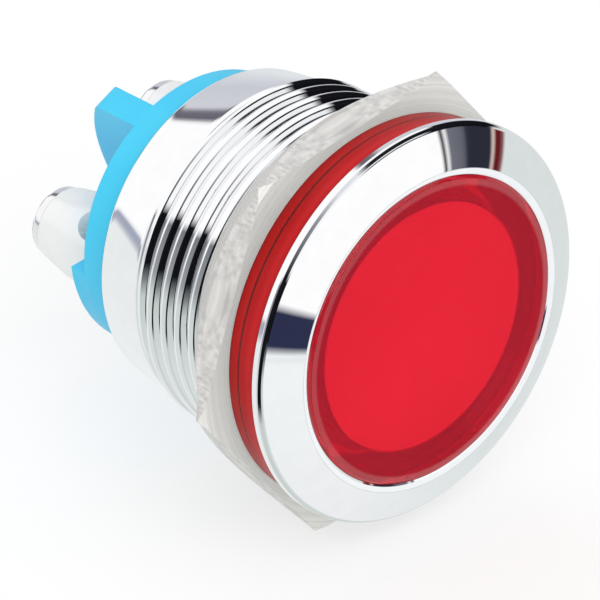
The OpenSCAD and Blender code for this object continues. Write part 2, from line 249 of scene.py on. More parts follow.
def raised(tree, shader, grain, bump, depth):
    # a bump that follows grain; depth in metres
    normal = shaderNode(tree, "Bump", {"Height": grain, "Strength": bump, "Distance": depth})
    tree.links.new(normal.outputs["Normal"], shader.inputs["Normal"])


def finish(tree, shader, colour, rough, grain, bump, depth=0.00002):
    # the shader's colour; its roughness and bump follow grain
    tree.links.new(colour, shader.inputs["Base Color"])
    spread = shaderNode(tree, "MapRange", {"Value": grain, "To Min": rough[0], "To Max": rough[1]})
    tree.links.new(spread.outputs["Result"], shader.inputs["Roughness"])
    raised(tree, shader, grain, bump, depth)


def axisDistance(tree, gain):
    # distance from the light's own axis, times gain, and the station along it
    place = shaderNode(tree, "TexCoord").outputs["Object"]
    flat = shaderNode(tree, "VectorMath", {0: place, 1: (gain, 0.0, gain)}, operation="MULTIPLY")
    length = shaderNode(tree, "VectorMath", {0: flat.outputs["Vector"]}, operation="LENGTH")
    station = shaderNode(tree, "SeparateXYZ", {"Vector": place}).outputs["Y"]
    return length.outputs["Value"], station


cameraView = {
    "azimuth": -42.84,                   # degrees
    "elevation": 28.6,
    "distance": 500.0,                   # millimetres, from the object's origin
    "shiftRight": 6.43,
    "shiftUp": -1.19,
    "lens": 511.1,
    "sensor": 36.0,
    "clip": (0.01, 10.0),                # metres
}


def makeCamera():
    # the camera stands back along its view and looks straight along it
    c = cameraView
    a, e = math.radians(c["azimuth"]), math.radians(c["elevation"])
    back = Vector((math.sin(a) * math.cos(e), -math.cos(a) * math.cos(e), math.sin(e)))
    right = Vector((math.cos(a), math.sin(a), 0.0))
    up = back.cross(right)
    place = back * c["distance"] - right * c["shiftRight"] - up * c["shiftUp"]
    lens = bpy.data.cameras.new("camera")
    lens.lens = c["lens"]
    lens.sensor_width = c["sensor"]
    lens.clip_start, lens.clip_end = c["clip"]
    camera = linked("camera", lens)
    turn = Matrix((right, up, back)).transposed().to_4x4()
    camera.matrix_world = Matrix.Translation(place * mm) @ turn
    bpy.context.scene.camera = camera


studio = {
    "softLight": 0.70,                   # what dull surfaces get from all round
    "seenWhite": 1.0,                    # what the camera and clear plastic see
    "shine": 1.07,                       # what polished metal sees
    "keyPlace": (-0.36, -0.62, 0.56),    # metres
    "keyWatts": 3.6,
    "keySize": 0.8,
    "rearPlace": (0.1, 0.5, 0.35),
    "rearWatts": 0.5,
    "rearSize": 0.4,
    "lampAim": (0.0, 0.01, 0.0),
    "flagSide": (-0.597, -0.644, 0.479),  # the side that the panels and flags are set out for
    "closeLean": -0.02,                  # the table whose bands close in as the facet leans back
    "closeMiddle": 135.0,                # on this angle
    "closeFrom": 0.03,                   # between these leans
    "closeFull": 0.16,
    "closeGain": 1.368,
}
pale = tone(216, 223, 221)
panelWhite = tone(255, 255, 255)
flagDark = tone(42, 44, 56)
flagNavy = tone(46, 49, 76)
# Panels and flags round the light's axis, by the lean of the facet that sees them:
# (lean, [(angle in degrees, colour), ...])
flags = [
    (-0.9995, [(0, tone(40, 36, 38)), (360, tone(40, 36, 38))]),
    (-0.994, [(0, tone(244, 247, 248)), (360, tone(244, 247, 248))]),
    (-0.974, []),
    (-0.968, [
        (0, pale), (54.9, pale), (55.3, tone(236, 218, 218)), (55.9, tone(236, 218, 218)), (56.3, tone(104, 28, 32)),
        (59.3, tone(98, 26, 30)), (59.8, tone(214, 192, 184)), (60.8, tone(208, 188, 180)), (61.3, flagDark),
        (71.5, flagDark), (73.5, tone(98, 100, 110)), (79.7, tone(112, 114, 124)), (80.1, tone(236, 236, 238)),
        (80.8, tone(236, 236, 238)), (81.1, tone(28, 28, 36)), (82.1, tone(28, 28, 36)), (82.7, panelWhite),
        (154.2, panelWhite), (155.2, flagNavy), (167.0, flagNavy), (167.8, tone(238, 241, 243)),
        (170.1, tone(238, 241, 243)), (170.6, tone(190, 191, 194)), (171.6, tone(242, 245, 245)),
        (240, tone(236, 238, 238)), (300, tone(218, 224, 223)), (360, pale)]),
    (-0.84, []),
    (-0.80, [
        (0, pale), (60, pale), (62, tone(16, 16, 20)), (85, tone(16, 16, 20)), (87.5, tone(40, 42, 48)),
        (108, tone(38, 40, 46)), (112, tone(238, 240, 242)), (144, tone(250, 252, 252)), (147.5, tone(14, 14, 18)),
        (165, tone(18, 19, 24)), (170, tone(120, 126, 128)), (176, tone(196, 205, 202)), (200, tone(214, 221, 219)),
        (260, tone(206, 213, 211)), (360, pale)]),
    (-0.765, []),
    (-0.74, [
        (0, pale), (60, pale), (62, tone(16, 16, 20)), (85, tone(16, 16, 20)), (88, tone(238, 240, 242)),
        (144, tone(250, 252, 252)), (147.5, tone(14, 14, 18)), (165, tone(18, 19, 24)), (170, tone(120, 126, 128)),
        (176, tone(196, 205, 202)), (200, tone(214, 221, 219)), (260, tone(206, 213, 211)), (360, pale)]),
    (-0.69, []),
    (-0.66, [
        (0, pale), (56, pale), (60, tone(16, 16, 20)), (108, tone(30, 32, 38)), (112, tone(226, 228, 232)),
        (120, tone(220, 222, 226)), (128, tone(150, 152, 158)), (146, tone(24, 25, 30)), (184, tone(14, 14, 18)),
        (190, tone(196, 205, 202)), (260, tone(206, 213, 211)), (360, pale)]),
    (-0.34, []),
    (-0.28, [
        (0, pale), (60, tone(210, 214, 216)), (62, tone(18, 18, 22)), (83, tone(20, 20, 24)), (86, panelWhite),
        (146, panelWhite), (149, tone(120, 124, 130)), (165, tone(150, 154, 158)), (172, tone(206, 213, 211)),
        (220, tone(226, 230, 229)), (300, tone(212, 218, 217)), (360, pale)]),
    (-0.15, []),
    (-0.12, [
        (0, pale), (60, tone(210, 214, 216)), (75, tone(150, 152, 158)), (86, tone(235, 236, 240)), (90, panelWhite),
        (146, panelWhite), (160, tone(232, 235, 236)), (220, tone(230, 234, 233)), (300, tone(216, 222, 221)),
        (360, pale)]),
    (-0.07, []),
    (-0.02, [
        (0, pale), (60, tone(222, 226, 228)), (84, tone(200, 202, 210)), (101, tone(206, 208, 214)),
        (104.5, tone(112, 110, 120)), (109, tone(100, 98, 110)), (111.5, panelWhite),
        (158.5, panelWhite), (160.5, tone(150, 158, 178)), (163, tone(172, 176, 190)), (166, tone(232, 236, 236)),
        (220, tone(236, 239, 238)), (300, tone(216, 222, 221)), (360, pale)]),
    (0.24, []),
    (0.34, [(0, tone(232, 236, 238)), (70, tone(206, 208, 212)), (100, tone(250, 250, 250)),
            (180, tone(252, 252, 252)), (250, tone(225, 228, 230)), (360, tone(232, 236, 238))]),
    (0.40, []),
    (0.45, [(0, pale), (58, pale), (62, tone(20, 20, 24)), (92, tone(26, 26, 30)), (96, pale), (112, pale),
            (116, tone(40, 40, 46)), (134, tone(20, 20, 24)), (138, pale), (158, pale), (162, tone(30, 30, 34)),
            (205, tone(20, 20, 24)), (212, pale), (360, pale)]),
    (0.62, []),
    (0.68, [(0, tone(250, 252, 252)), (360, tone(250, 252, 252))]),
]


def flagColours(tree, leaning, plainTurn, closedTurn):
    # each table fades into the next as the facet leans; an empty one marks where the fade may start
    colour = None
    before = None
    for lean, table in flags:
        if table:
            turn = closedTurn if lean == studio["closeLean"] else plainTurn
            seen = ramp(tree, turn, [(at / 360.0, shade) for at, shade in table])
            if colour is None:
                colour = seen
            else:
                fade = shaderNode(tree, "MapRange", {"Value": leaning, "From Min": before, "From Max": lean},
                                  interpolation_type="SMOOTHSTEP")
                both = shaderNode(tree, "Mix", {0: fade.outputs["Result"], 6: colour, 7: seen}, data_type="RGBA")
                colour = both.outputs[2]
        before = lean
    return colour


def makeWorld():
    # A ray's place among the flags is the facet that would send it to flagSide: the middle direction
    # between the ray and that side, read as an angle about the light's axis and a lean along it.
    s = studio
    world = bpy.data.worlds.new("studio")
    bpy.context.scene.world = world
    world.use_nodes = True
    tree = world.node_tree
    tree.nodes.clear()
    ray = shaderNode(tree, "TexCoord").outputs["Generated"]
    middle = shaderNode(tree, "VectorMath", {0: ray, 1: s["flagSide"]}, operation="ADD")
    facet = shaderNode(tree, "VectorMath", {0: middle.outputs["Vector"]}, operation="NORMALIZE")
    split = shaderNode(tree, "SeparateXYZ", {"Vector": facet.outputs["Vector"]})
    around = shaderNode(tree, "Math", {0: split.outputs["Z"], 1: split.outputs["X"]}, operation="ARCTAN2")
    turns = shaderNode(tree, "Math", {0: around.outputs["Value"], 1: twoPi}, operation="DIVIDE")
    share = shaderNode(tree, "Math", {0: turns.outputs["Value"]}, operation="FRACT").outputs["Value"]
    pivot = s["closeMiddle"] / 360.0
    gain = shaderNode(tree, "MapRange", {"Value": split.outputs["Y"], "From Min": s["closeFrom"],
                                         "From Max": s["closeFull"], "To Min": 1.0, "To Max": s["closeGain"]})
    apart = shaderNode(tree, "Math", {0: share, 1: pivot}, operation="SUBTRACT")
    closed = shaderNode(tree, "Math", {0: apart.outputs["Value"], 1: gain.outputs["Result"], 2: pivot},
                        operation="MULTIPLY_ADD")
    colour = flagColours(tree, split.outputs["Y"], share, closed.outputs["Value"])
    shiny = shaderNode(tree, "Background", {"Color": colour, "Strength": s["shine"]})
    soft = shaderNode(tree, "Background", {"Color": (1, 1, 1, 1), "Strength": s["softLight"]})
    plain = shaderNode(tree, "Background", {"Color": (1, 1, 1, 1), "Strength": s["seenWhite"]})
    path = shaderNode(tree, "LightPath")
    seen = shaderNode(tree, "Math", {0: path.outputs["Is Camera Ray"], 1: path.outputs["Is Transmission Ray"]},
                      operation="MAXIMUM")
    first = shaderNode(tree, "MixShader", {0: path.outputs["Is Glossy Ray"], 1: soft.outputs[0], 2: shiny.outputs[0]})
    second = shaderNode(tree, "MixShader", {0: seen.outputs["Value"], 1: first.outputs[0], 2: plain.outputs[0]})
    shaderNode(tree, "OutputWorld", {"Surface": second.outputs[0]})


floorSizes = {
    "half": 0.6,                         # metres
    "below": 0.0004,
    "shade": 0.40,                       # how strongly it keeps the shadow
    "lift": 0.62,                        # its own white, to the camera only
    "paper": 0.88,                       # what it sends back to the object
}


def makeFloor():
    # pale paper under the object: white to the camera but for the shadow, plain paper to all other rays
    f = floorSizes
    half, z = f["half"], cadBox[0][2] - f["below"]
    mesh = bpy.data.meshes.new("floor")
    mesh.from_pydata([(-half, -half, z), (half, -half, z), (half, half, z), (-half, half, z)], [], [(0, 1, 2, 3)])
    floor = linked("floor", mesh)
    floor.visible_glossy = False
    material = bpy.data.materials.new("palePaper")
    material.use_nodes = True
    tree = material.node_tree
    tree.nodes.clear()
    seen = shaderNode(tree, "LightPath").outputs["Is Camera Ray"]
    kept = shaderNode(tree, "BsdfDiffuse", {"Color": (f["shade"], f["shade"], f["shade"], 1)})
    lift = shaderNode(tree, "Emission", {"Color": (1, 1, 1, 1), "Strength": f["lift"]})
    both = shaderNode(tree, "AddShader", {0: kept.outputs[0], 1: lift.outputs[0]})
    paper = shaderNode(tree, "BsdfDiffuse", {"Color": (f["paper"], f["paper"], f["paper"], 1)})
    out = shaderNode(tree, "MixShader", {0: seen, 1: paper.outputs[0], 2: both.outputs[0]})
    shaderNode(tree, "OutputMaterial", {"Surface": out.outputs[0]})
    mesh.materials.append(material)


def addLamp(name, place, watts, size):
    # a round soft lamp that points at the object and isn't mirrored by the metal
    lamp = bpy.data.lights.new(name, "AREA")
    lamp.shape = "DISK"
    lamp.size = size
    lamp.energy = watts
    made = linked(name, lamp)
    made.location = place
    made.rotation_euler = (Vector(studio["lampAim"]) - Vector(place)).to_track_quat("-Z", "Y").to_euler()
    made.visible_glossy = False


makeCamera()
makeWorld()
makeFloor()
addLamp("keyLamp", studio["keyPlace"], studio["keyWatts"], studio["keySize"])
addLamp("rearLamp", studio["rearPlace"], studio["rearWatts"], studio["rearSize"])
print("studio ready")


housing = {
    "radius": top("housing", 0),         # over the bezel
    "lipY": bottom("housing", 1),        # front lip beside the lens
    "endY": top("housing", 1),           # rear end of the collar
    "lipInner": 9.71,                    # the lip reaches in over the lens's bevelled edge
    "lipOuter": 10.17,
    "lipRise": 0.11,                     # its slope, from inner to outer edge
    "lipUnder": 0.03,                    # thickness of its inner edge
    "lipEdge": (0.01, -0.005),
    "crestRows": ((-0.025, 0.005), (-0.008, 0.001), (0.008, 0.002), (0.025, 0.007)),  # beside the outer edge
    "crown": 0.07,                       # bulge of the polished bevel
    "rimRound": 0.5,
    "rimTurn": 60.0,                     # degrees of the rim's rounding
    "rimHeight": 0.33,                   # straight rim at the bezel's rear
    "rimEdge": 0.04,
    "recessDepth": 0.3,
    "recessFit": 0.05,                   # gap round the gasket
    "pocketFit": 0.02,                   # seen gap round the lens
    "pocketRows": (-0.03, 0.4),          # from the ledge, and a station of the pocket's wall
    "ledgeY": 1.75,
    "ledgeThick": 1.0,
    "ledgeRadius": 8.4,
    "boreRadius": 8.9,
    "boreEdge": 0.05,
    "boreRow": 10.0,                     # a station half way along the bore
    "neckRows": (0.4, 1.2),
    "crestRadius": 10.95,
    "runOut": 10.38,                     # radius where the thread ends
    "runOutRows": ((0.0, 0.47), (0.04, 0.5)),
    "pitch": 1.2,
    "threadY": (2.0, 11.42),
    "threadTurn": 0.947,                 # share of a pitch by which its start is turned
    "threadHand": -1.0,
    "threadSlopes": ((0.0, -1.0), (0.10, -1.0), (0.155, 1.3), (0.34, 1.25), (0.36, 1.05), (0.50, 1.0),
                     (0.545, 0.24), (0.78, 0.18), (0.87, 0.0), (0.94, -0.45), (1.0, -1.0)),
    "fadeIn": 0.9,
    "fadeOut": (0.42, 0.2),              # where it has run out, past threadY, and over what length
    "threadPast": 0.45,
    "rowStep": 0.04,
    "waveSteps": 400,
    "grooveY": 12.3,                     # turned groove where the collar starts
    "grooveRows": ((0.055, -0.12), (0.02, -0.06), (0.02, 0.0)),
    "collarFront": 10.45,                # radius where the collar starts
    "collarRows": ((-0.03, 0.07), (-0.02, 0.2), (-0.01, 0.26)),
    "collarRear": 10.12,
    "collarCrown": 0.05,
    "collarRound": 0.3,
    "segments": 256,
}


def threadWave(phase):
    # Depth below the crest over one pitch: the running sum of the table of slopes, with the falling part scaled
    # so that it closes and what little is left over spread out evenly.
    steps = housing["waveSteps"]
    share, slope = np.array(housing["threadSlopes"]).T
    fine = np.linspace(0, 1, steps + 1)
    rise = np.interp(fine, share, slope)
    rise = np.where(rise < 0, rise * rise[rise > 0].sum() / -rise[rise < 0].sum(), rise)
    level = np.concatenate([[0], np.cumsum((rise[1:] + rise[:-1]) / 2)]) / steps * housing["pitch"]
    level = level - np.linspace(0, level[-1], steps + 1)
    return np.interp(phase % 1.0, fine, level - level.max())


def makeHousing(material):
    # Bezel, neck, thread and collar in one skin. Each row is a station of the profile. The thread's radius is
    # crest + wave(station / pitch - angle / turn + start), and it fades in and out at the thread's ends.
    h = housing
    lipR = top("lens", 0) + h["pocketFit"]
    recessR = top("panel_gasket", 0) + h["recessFit"]
    bezelR, neckR, boreR, ledgeR = h["radius"], h["crestRadius"], h["boreRadius"], h["ledgeRadius"]
    rim, rimTurn = h["rimRound"], math.radians(h["rimTurn"])
    lipY, endY, ledgeY = h["lipY"], h["endY"], h["ledgeY"]
    start, end = h["threadY"]
    lipFaceY = lipY + h["lipRise"]
    crest = offsets([h["lipOuter"], lipY], h["crestRows"])
    front = np.concatenate([
        [[lipR, ledgeY + h["pocketRows"][0]], [lipR, h["pocketRows"][1]],
         [lipR, lipFaceY + h["lipUnder"] + lipR - h["lipInner"]],
         [h["lipInner"], lipFaceY + h["lipUnder"]], [h["lipInner"], lipFaceY]],
        bulge(offsets([h["lipInner"], lipFaceY], h["lipEdge"]), crest[0], 0, 4),
        crest[1:3],
        bulge(crest[3], [bezelR - rim + rim * math.cos(rimTurn), -h["rimHeight"] - rim * math.sin(rimTurn)],
              -h["crown"], 24),
        arc([bezelR - rim, -h["rimHeight"]], rim, 2 - h["rimTurn"], 0, 14),
        [[bezelR, -h["rimHeight"] / 2], [bezelR, -h["rimEdge"]], [bezelR - h["rimEdge"], 0.0], [recessR, 0.0],
         [recessR, -h["recessDepth"]], [neckR, -h["recessDepth"]], [neckR, h["neckRows"][0]],
         [neckR, h["neckRows"][1]], [neckR, start - 0.2]]])
    y = start + np.arange(int(round((end + h["threadPast"] - start) / h["rowStep"]))) * h["rowStep"]
    collarR, groove, roundR = h["collarFront"], h["grooveY"], h["collarRound"]
    collar = offsets([collarR, groove], h["collarRows"])
    rear = np.concatenate([
        offsets([h["runOut"], end], h["runOutRows"]),
        offsets([h["runOut"], groove], h["grooveRows"]),
        collar[:2],
        bulge(collar[2], [h["collarRear"], endY - roundR], -h["collarCrown"], 18),
        arc([h["collarRear"] - roundR, endY - roundR], roundR, 8, 90, 10),
        [[boreR + h["boreEdge"], endY], [boreR, endY - h["boreEdge"]], [boreR, h["boreRow"]],
         [boreR, ledgeY + h["ledgeThick"]], [ledgeR, ledgeY + h["ledgeThick"]], [ledgeR, ledgeY], [lipR, ledgeY]]])
    segments = h["segments"]
    angle = np.arange(segments) / segments * twoPi
    phase = (y[:, None] - start) / h["pitch"] + h["threadHand"] * angle[None, :] / twoPi + h["threadTurn"]
    fadeIn = np.clip((y - start) / h["fadeIn"], 0, 1)[:, None]
    fadeOut = np.clip((end + h["fadeOut"][0] - y) / h["fadeOut"][1], 0, 1)[:, None]
    radius = neckR + threadWave(phase) * fadeIn
    radius = radius * fadeOut + h["runOut"] * (1 - fadeOut)
    threadVerts = np.stack([radius * np.cos(angle), np.repeat(y[:, None], segments, 1), radius * np.sin(angle)], -1)
    verts = np.concatenate([revolve(front, segments), threadVerts.reshape(-1, 3), revolve(rear, segments)])
    faces = gridFaces(len(front) + len(y) + len(rear), segments, closedRows=True)
    piece = newObject("bezelHousing", verts, faces)
    return dressed(piece, "root", "housing", material, 32)


lens = {
    "window": 1.4,                       # thickness of the front
    "skirt": 1.9,                        # wall of the skirt behind it
    "edgeCut": 0.24,                     # bevel of the face's edge, under the lip
    "edgeDrop": 0.06,                    # straight side above the bevel
    "cornerRound": 0.05,
    "segments": 192,
}


def makeLens(material):
    # A cup: flat window in front, skirt behind it
    s = lens
    r, faceY, backY = top("lens", 0), bottom("lens", 1), top("lens", 1)
    inner, windowBack = r - s["skirt"], bottom("lens", 1) + s["window"]
    edgeR, drop, soft = r - s["edgeCut"], s["edgeDrop"], s["cornerRound"]
    face = [[pole, faceY]] + [[at, faceY] for at in (3, 6, 8, 9)]
    edge = [[edgeR - 0.02, faceY], [edgeR, faceY + 0.01], [edgeR, faceY + drop], [r, faceY + s["edgeCut"] + drop]]
    skirt = [[r, 0.0], [r, backY - 0.08], [r - 0.08, backY], [inner + soft, backY], [inner, backY - soft],
             [inner, 0.0], [inner, windowBack + soft], [inner - soft, windowBack]]
    back = [[6, windowBack], [3, windowBack], [pole, windowBack]]
    profile = np.array(face + edge + skirt + back, float)
    piece = newObject("redLens", revolve(profile, s["segments"]), gridFaces(len(profile), s["segments"]))
    return dressed(piece, "root", "lens", material, 30)


gasket = {
    "stepHeight": 0.85,                  # of the lower band beside the nut
    "stepWidth": 0.1,
    "edgeRound": 0.06,
    "segments": 192,
}


def makeGasket(material):
    # A ring of square section with a lower band at its rear; every edge is a little rounded
    s = gasket
    inner, r, edge = housing["crestRadius"] + 0.05, top("panel_gasket", 0), s["edgeRound"]
    frontY, backY = bottom("panel_gasket", 1), top("panel_gasket", 1)
    stepY, stepR = backY - s["stepHeight"], r - s["stepWidth"]
    outline = [[inner, 1.0], [inner, frontY], [r, frontY], [r, stepY], [stepR, stepY + 0.04], [stepR, backY],
               [inner, backY], [inner, 1.02]]
    profile = filleted(outline, [0, edge, edge, edge, 0.02, edge, edge, 0], 5)
    piece = newObject("panelGasket", revolve(profile, s["segments"]),
                      gridFaces(len(profile), s["segments"], closedRows=True))
    piece.visible_diffuse = False        # no red cast on the bright metal beside it
    piece.visible_glossy = False
    return dressed(piece, "root", "panel_gasket", material, 50)


nut = {
    "flats": 25.0,
    "turn": 10.4,                        # degrees
    "frontChamfer": (0.45, 0.3),         # inwards, along the axis
    "rearChamfer": (2.6, 2.9),
    "cornerEdge": 0.12,                  # what the chamfers leave of a corner
    "boreRadius": 11.0,
    "boreChamfer": 0.35,
    "sideLean": 0.4,                     # a face that leans less than this has the flats' colour
    "faceLean": 0.8,                     # one that leans more, the front's painted paler colour, standing in for light on it
    "perSide": 36,                       # columns on each of the six sides
}


def makeNut(material):
    # Hexagon: at each angle the flat's distance is flats / 2 / cos(angle from the flat's middle), and the
    # two chamfer cones cut it short, so each column is its own profile from bore to bore.
    s = nut
    segments = 6 * s["perSide"]
    angle = np.radians(s["turn"]) + np.arange(segments) / segments * twoPi
    fromMiddle = (np.arange(segments) % s["perSide"]) / s["perSide"] * math.pi / 3 - math.pi / 6
    hexR = s["flats"] / 2 / np.cos(fromMiddle)
    cornerR = s["flats"] / 2 / math.cos(math.pi / 6)
    y0, y1 = bottom("panel_nut", 1), top("panel_nut", 1)
    frontR, rearR = cornerR - s["frontChamfer"][0], cornerR - s["rearChamfer"][0]
    frontY = y0 + np.maximum(hexR - frontR, 0) / s["frontChamfer"][0] * s["frontChamfer"][1]
    rearY = y1 - np.maximum(hexR - rearR, 0) / s["rearChamfer"][0] * s["rearChamfer"][1]
    rearY = np.maximum(rearY, frontY + s["cornerEdge"])
    bore, cut = s["boreRadius"], s["boreChamfer"]
    one = np.ones(segments)
    # (radius, station) of each corner of a column's profile, and the steps of the stretch that ends there
    corners = [(bore * one, (y0 + cut) * one, 1), ((bore + cut) * one, y0 * one, 1),
               (np.minimum(hexR, frontR), y0 * one, 3), (hexR, frontY, 2), (hexR, rearY, 4),
               (np.minimum(hexR, rearR), y1 * one, 6), ((bore + cut) * one, y1 * one, 2),
               (bore * one, (y1 - cut) * one, 1)]
    radius, station = [corners[0][0][None]], [corners[0][1][None]]
    for (ra, ya, _), (rb, yb, steps) in zip(corners, corners[1:]):
        t = np.linspace(0, 1, steps + 1)[1:, None]
        radius.append(ra * (1 - t) + rb * t)
        station.append(ya * (1 - t) + yb * t)
    radius, station = np.concatenate(radius), np.concatenate(station)
    verts = np.stack([radius * np.cos(angle), station, radius * np.sin(angle)], -1).reshape(-1, 3)
    piece = newObject("hexNut", verts, gridFaces(len(radius), segments, closedRows=True))
    # how far each face looks forwards, for the front's painted paler colour
    forwards = np.array([-face.normal.y for face in piece.data.polygons])
    share = piece.data.attributes.new("forwards", "FLOAT", "FACE")
    share.data.foreach_set("value", np.clip((forwards - s["sideLean"]) / (s["faceLean"] - s["sideLean"]), 0, 1))
    return dressed(piece, "nut", "panel_nut", material, 18)


terminal = {
    "turn": 28.0,                        # degrees, from +X towards +Z
    "reach": 4.65,                       # from the light's axis
    "postRadius": 2.825,
    "endRadius": 2.35,
    "taper": 2.4,                        # height over which the post narrows
    "endRise": 0.5,                      # the turned end stands this far behind the solid's
    "holeRadius": 0.975,                 # for the wire
    "holeY": 21.4,
    "holeTurn": 98.0,                    # from the terminal's own direction
    # the hole's cutter: distance along it, and how much it flares, which rounds the hole's edges
    "holeRings": ((-4.0, 0.6), (-2.68, 0.12), (-2.2, 0.0), (2.2, 0.0), (2.68, 0.12), (4.0, 0.6)),
    "boreRadius": 1.3,                   # for the screw
    "cornerRounds": (0, 0.05, 0.35, 0.1, 0),
    "sideRows": 12,
    "segments": 128,
    "holeSides": 64,
    "boreSides": 48,
}


def terminalCentre(side):
    # x and z of a terminal's own axis, in millimetres
    turn = math.radians(terminal["turn"])
    return np.array([math.cos(turn), math.sin(turn)]) * terminal["reach"] * side


def makePost(side, letter, material):
    # a turned profile with a conical end; the cross hole and the screw's bore are cut out of it
    t = terminal
    node = "terminal_post_" + letter
    centre = terminalCentre(side)
    startY, endY = bottom(node, 1), top(node, 1) + t["endRise"]
    outline = [[pole, startY], [t["postRadius"], startY], [t["postRadius"], endY - t["taper"]],
               [t["endRadius"], endY], [pole, endY]]
    profile = filleted(outline, t["cornerRounds"], 7)
    foot = 8                             # points of the profile before its straight side
    straight = np.linspace(startY + 0.2, endY - t["taper"] - 0.5, t["sideRows"])
    wall = np.stack([np.full(t["sideRows"], t["postRadius"]), straight], -1)
    profile = np.concatenate([profile[:foot], wall, profile[foot:]])
    piece = newObject("terminalPost" + letter.upper(), revolve(profile, t["segments"], centre),
                      gridFaces(len(profile), t["segments"]))
    turn = math.radians(t["turn"] + t["holeTurn"])
    along, across = np.array([math.cos(turn), 0, math.sin(turn)]), np.array([0, 1, 0])
    third = np.cross(along, across)
    ring = np.arange(t["holeSides"]) / t["holeSides"] * twoPi
    circle = np.cos(ring)[:, None] * across + np.sin(ring)[:, None] * third
    middle = np.array([centre[0], t["holeY"], centre[1]])
    rings = [(t["holeRadius"] + flare) * circle + middle + at * along for at, flare in t["holeRings"]]
    wire = newObject("wireCut", np.concatenate(rings), capped(len(rings), t["holeSides"]))
    bore = newObject("boreCut", revolve([[t["boreRadius"], t["holeY"]], [t["boreRadius"], endY + 1]],
                                        t["boreSides"], centre), capped(2, t["boreSides"]))
    cutAway(piece, [wire, bore])
    return dressed(piece, "root", node, material, 35)


screw = {
    "headRadius": 2.225,
    "edgeHeight": 0.45,                  # straight part of the head's side
    "edgeRound": 0.35,
    "edgeTurn": 78,                      # degrees of the edge's rounding
    "edgeShare": 0.92,                   # share of the rounding that the edge rises
    "seatEdge": (0.12, 0.1),
    "shankRadius": 1.25,
    "tipEdge": 0.2,
    "recessWidth": 0.62,
    "recessLength": 2.5,
    "recessDepth": 0.9,
    "recessTurn": 20.0,                  # degrees
    "recessDraft": 0.55,                 # its floor's size against its length and width
    "recessMouth": (-0.3, 1.1),          # its cutter's other end, above the head, and its size
    "segments": 96,
}


def makeScrew(side, letter, material):
    # Pan head: a straight side, a rounded edge and a low dome whose radius and station follow one circle
    s = screw
    node = "terminal_screw_" + letter
    centre = terminalCentre(side)
    seatY, topY, tipY = top("terminal_post_" + letter, 1) + terminal["endRise"], top(node, 1), bottom(node, 1)
    edge, flatR = s["edgeRound"], s["headRadius"] - s["edgeRound"]
    edgeY = seatY + s["edgeHeight"]
    dome = topY - edgeY - edge * s["edgeShare"]
    domeR = (flatR ** 2 + dome ** 2) / 2 / dome
    lean = math.degrees(math.asin(flatR / domeR))
    crown = np.concatenate([arc([flatR, edgeY], edge, 0, s["edgeTurn"], 8),
                            arc([0, topY - domeR], domeR, 90 - lean, 90, 16)[1:]])
    crown[-1, 0] = pole
    shankR, headR, tip = s["shankRadius"], s["headRadius"], s["tipEdge"]
    profile = np.concatenate([
        [[pole, tipY], [shankR - tip, tipY], [shankR, tipY + tip], [shankR, seatY],
         [headR - s["seatEdge"][0], seatY], [headR, seatY + s["seatEdge"][1]]], crown])
    piece = newObject("terminalScrew" + letter.upper(), revolve(profile, s["segments"], centre),
                      gridFaces(len(profile), s["segments"]))
    cutters = []
    for quarter in (0, 90):
        turn = math.radians(s["recessTurn"] + quarter)
        along = np.array([math.cos(turn), 0, math.sin(turn)]) * s["recessLength"] / 2
        across = np.array([-math.sin(turn), 0, math.cos(turn)]) * s["recessWidth"] / 2
        corners = [along * a * share + across * c * share + np.array([centre[0], topY - deep, centre[1]])
                   for deep, share in ((s["recessDepth"], s["recessDraft"]), s["recessMouth"])
                   for a, c in ((-1, -1), (1, -1), (1, 1), (-1, 1))]
        cutters.append(newObject("crossCut", np.array(corners), capped(2, 4)))
    cutAway(piece, cutters)
    return dressed(piece, "screw_" + letter, node, material, 30)


base = {
    "edgeRound": 0.16,                   # moulded radius along the sharp edges
    "ribFrom": 20.6,                     # station above which the rib is drawn out
    "ribStretch": 0.09,
    "sharpFrom": 38.0,                   # degrees
    "flatWithin": 0.5,                   # degrees; flatter neighbours become one face
    "doubles": 2e-7,                     # metres
}


def makeBase(material):
    # the moulded base keeps its solid's form; its sharp edges get a small moulded radius
    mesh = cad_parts["terminal_base"].data.copy()
    mesh.name = "terminalBase"
    piece = linked("terminalBase", mesh)
    work = bmesh.new()
    work.from_mesh(mesh)
    bmesh.ops.remove_doubles(work, verts=work.verts, dist=base["doubles"])
    bmesh.ops.dissolve_limit(work, angle_limit=math.radians(base["flatWithin"]), verts=work.verts, edges=work.edges)
    for vert in work.verts:
        vert.co.y += max(0.0, vert.co.y - base["ribFrom"] * mm) * base["ribStretch"]
    work.to_mesh(mesh)
    work.free()
    step = piece.modifiers.new("mouldedEdges", "BEVEL")
    step.width = base["edgeRound"] * mm
    step.segments = 3
    step.limit_method = "ANGLE"
    step.angle_limit = math.radians(base["sharpFrom"])
    step.miter_outer = "MITER_ARC"
    return dressed(piece, "root", "terminal_base", material, 30)


finishes = {
    "plateRough": (0.015, 0.04),
    "postRough": (0.26, 0.36),
    "nutRough": (0.38, 0.56),
    "lensRough": 0.06,
    "lensIor": 1.49,
    "lensClear": 0.7,
    "glow": 0.32,                        # a faint glow of the diffuser, painted light that brightens the lens's inner disc
}


def plated(name, light, dark, rough, bump, metallic=1.0):
    # bright plate: mirror reflections, broken very slightly by the turning under it
    material, tree, shader = newMaterial(name, Metallic=metallic)
    colour = drift(tree, speckle(tree, 900.0, 4.0), dark, light)
    finish(tree, shader, colour, rough, speckle(tree, 420.0, 2.0), bump)
    return material


